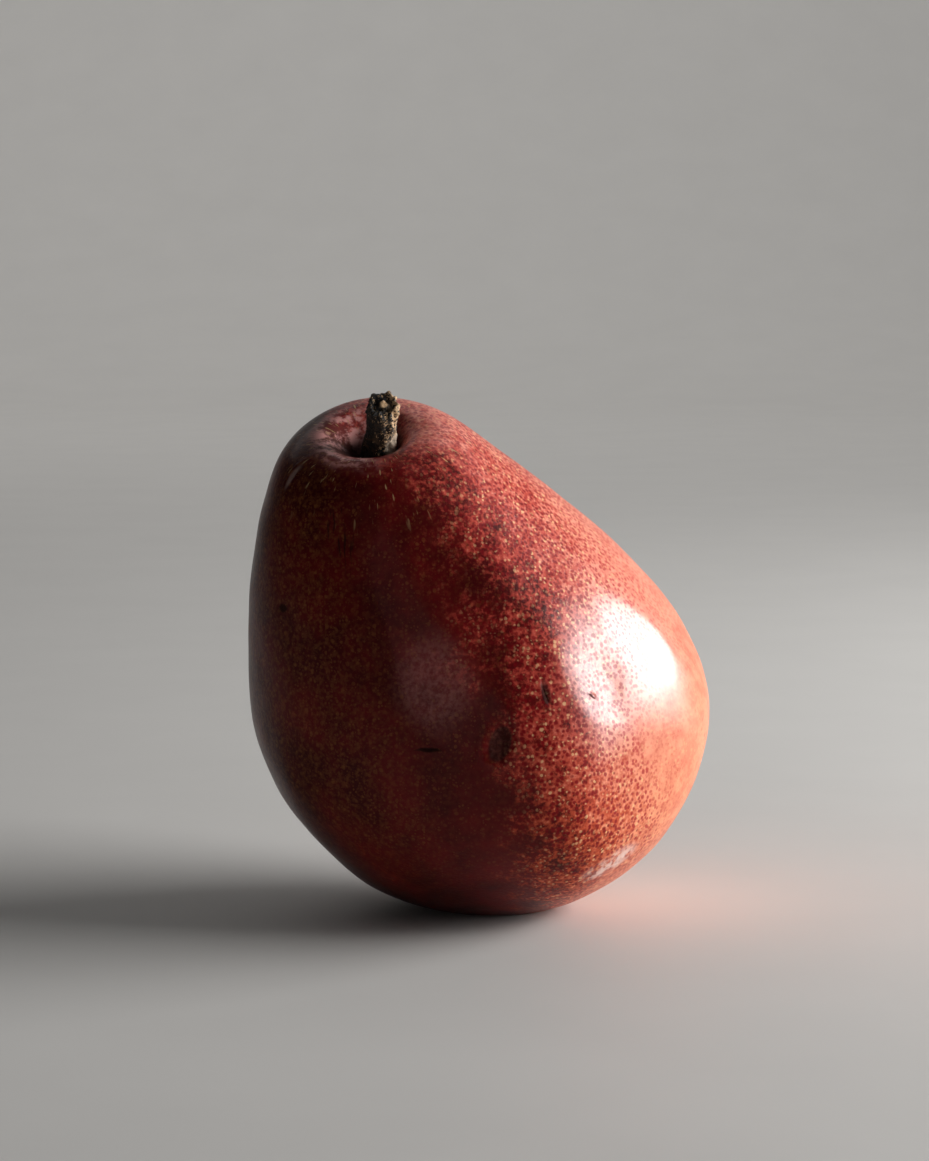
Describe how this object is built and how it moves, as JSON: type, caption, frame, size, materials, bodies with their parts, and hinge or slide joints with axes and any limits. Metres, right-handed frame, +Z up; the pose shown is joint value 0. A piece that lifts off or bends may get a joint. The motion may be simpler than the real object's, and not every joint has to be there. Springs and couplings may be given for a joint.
{
  "type": "pear",
  "caption": "Stubby red pear with a sideways neck, a short woody stem in its crown and a dried calyx at its base, leaning on a small flat spot.",
  "frame": {"origin": "middle of the flat spot that the pear rests on, at table height", "axes": "+Z up from the table, -Y towards the viewer of the picture and the way the stem leans, +X to that viewer's right"},
  "size_m": [0.0761, 0.0745, 0.087],
  "materials": {
    "skin": "satin",
    "bark": "matte",
    "dried_sepal": "matte"
  },
  "bodies": {
    "root": {"pear_body": "skin", "stem": "bark", "calyx": "dried_sepal"}
  },
  "joints": []
}
